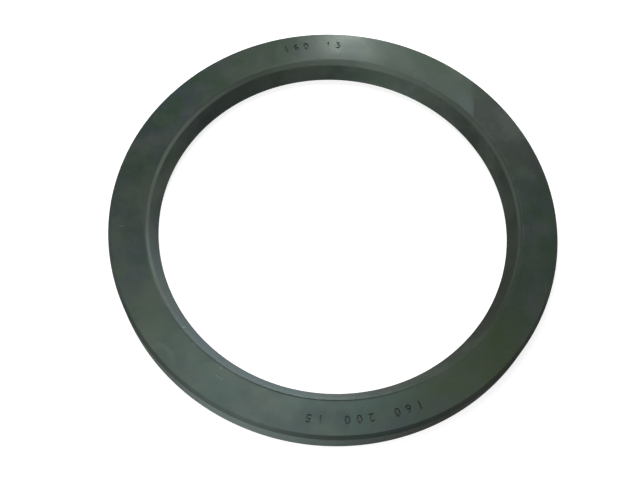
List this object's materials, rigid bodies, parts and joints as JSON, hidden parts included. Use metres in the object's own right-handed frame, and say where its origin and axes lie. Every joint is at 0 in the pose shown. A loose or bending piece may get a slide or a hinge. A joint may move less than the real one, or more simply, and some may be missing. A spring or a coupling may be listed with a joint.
{
  "type": "radial shaft seal",
  "caption": "Moulded rubber ring with a flat air-side face, a straight outer seat, an inner sealing lip and a garter spring behind the lip.",
  "frame": {"origin": "on the shaft's axis, in the plane of the front (oil-side) face, on which the ring rests", "axes": "+Z along the shaft's axis, from the oil side to the air side, whose flat face is on top; X and Y are any two radii of the ring"},
  "size_m": [0.2, 0.2, 0.015],
  "materials": {
    "moulded_rubber": "matt, faintly turned by the mould",
    "spring_steel": "oiled drawn wire"
  },
  "bodies": {
    "root": {"seal_body": "moulded_rubber", "garter_spring": "spring_steel"}
  },
  "joints": []
}
